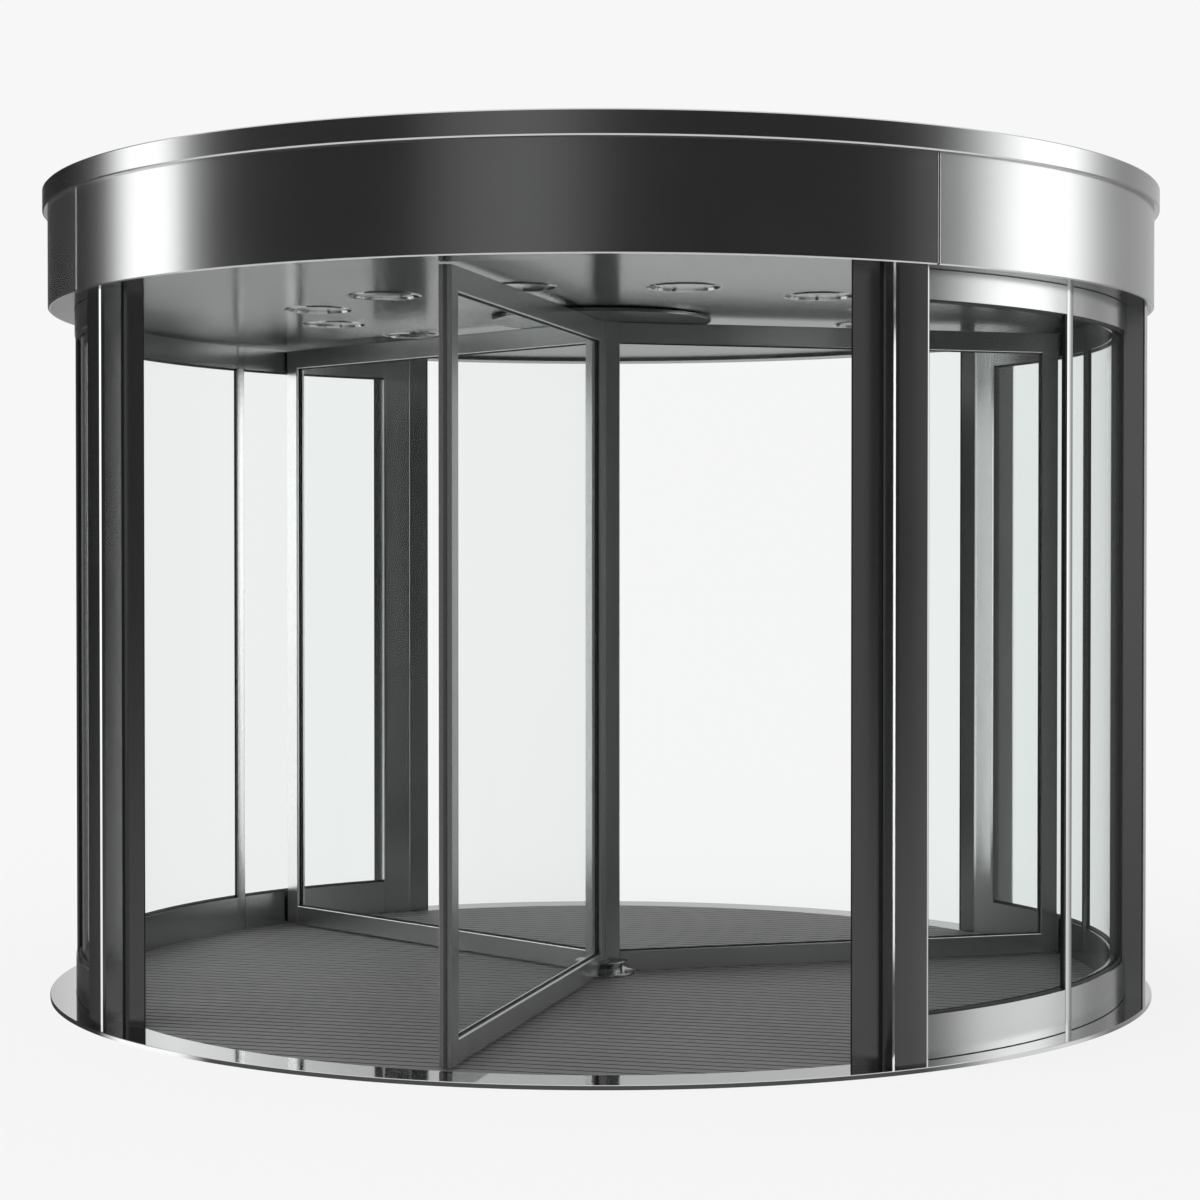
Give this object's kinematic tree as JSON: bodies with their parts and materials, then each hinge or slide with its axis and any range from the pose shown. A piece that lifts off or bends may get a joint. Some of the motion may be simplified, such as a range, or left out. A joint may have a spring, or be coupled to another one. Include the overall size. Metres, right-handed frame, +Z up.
{
  "type": "revolving door",
  "caption": "Round glazed revolving door: a drum of curved glass walls with two openings, a deep canopy with ceiling lights, and a set of turning framed glass wings.",
  "frame": {"origin": "centre of the drum on the underside of the floor ring, where the door rests on the floor", "axes": "+Z up along the turning axis; people walk along Y, and the front opening faces -Y; +X to the right"},
  "size_m": [3.636, 3.6356, 2.571],
  "materials": {
    "dark_steel": "satin, vertically brushed",
    "brushed_steel": "satin brushed",
    "polished_steel": "near mirror polished",
    "clear_glass": "clear with a faint green tint",
    "mat": "ribbed, matte, fine dots",
    "black_seal": "matte",
    "lamp_trim": "satin",
    "lamp_lens": "frosted",
    "roof_paint": "flat grey paint"
  },
  "bodies": {
    "frame": {"floor_ring": "polished_steel", "floor_mat": "mat", "floor_pivot": "polished_steel", "corner_post_front_right": "dark_steel", "corner_post_front_left": "dark_steel", "corner_post_back_right": "dark_steel", "corner_post_back_left": "dark_steel", "post_covers": "dark_steel", "side_post_right": "dark_steel", "side_post_left": "dark_steel", "bottom_rail_right": "dark_steel", "top_rail_right": "dark_steel", "bottom_rail_left": "dark_steel", "top_rail_left": "dark_steel", "mullions": "dark_steel", "mullion_gaskets": "black_seal", "wall_glass_front_right": "clear_glass", "wall_glass_front_left": "clear_glass", "wall_glass_back_right": "clear_glass", "wall_glass_back_left": "clear_glass", "header_plate": "brushed_steel", "ceiling_panel": "brushed_steel", "downlight_trims": "lamp_trim", "downlight_lenses": "lamp_lens", "fascia_front": "dark_steel", "fascia_right": "dark_steel", "fascia_back": "dark_steel", "fascia_left": "dark_steel", "fascia_splices": "black_seal", "crown_ring": "brushed_steel", "roof_cover": "roof_paint"},
    "rotor": {"rotor_hub": "polished_steel", "rotor_shaft": "dark_steel", "ceiling_disc": "brushed_steel", "wing_front_stiles": "dark_steel", "wing_front_rails": "dark_steel", "wing_front_glass": "clear_glass", "wing_front_seal": "black_seal", "wing_right_stiles": "dark_steel", "wing_right_rails": "dark_steel", "wing_right_glass": "clear_glass", "wing_right_seal": "black_seal", "wing_left_stiles": "dark_steel", "wing_left_rails": "dark_steel", "wing_left_glass": "clear_glass", "wing_left_seal": "black_seal"}
  },
  "joints": [
    {"name": "rotor_spin", "type": "hinge", "parent": "frame", "child": "rotor", "pos_m": [0, 0, 0], "axis": [0, 0, 1], "continuous": true}
  ]
}
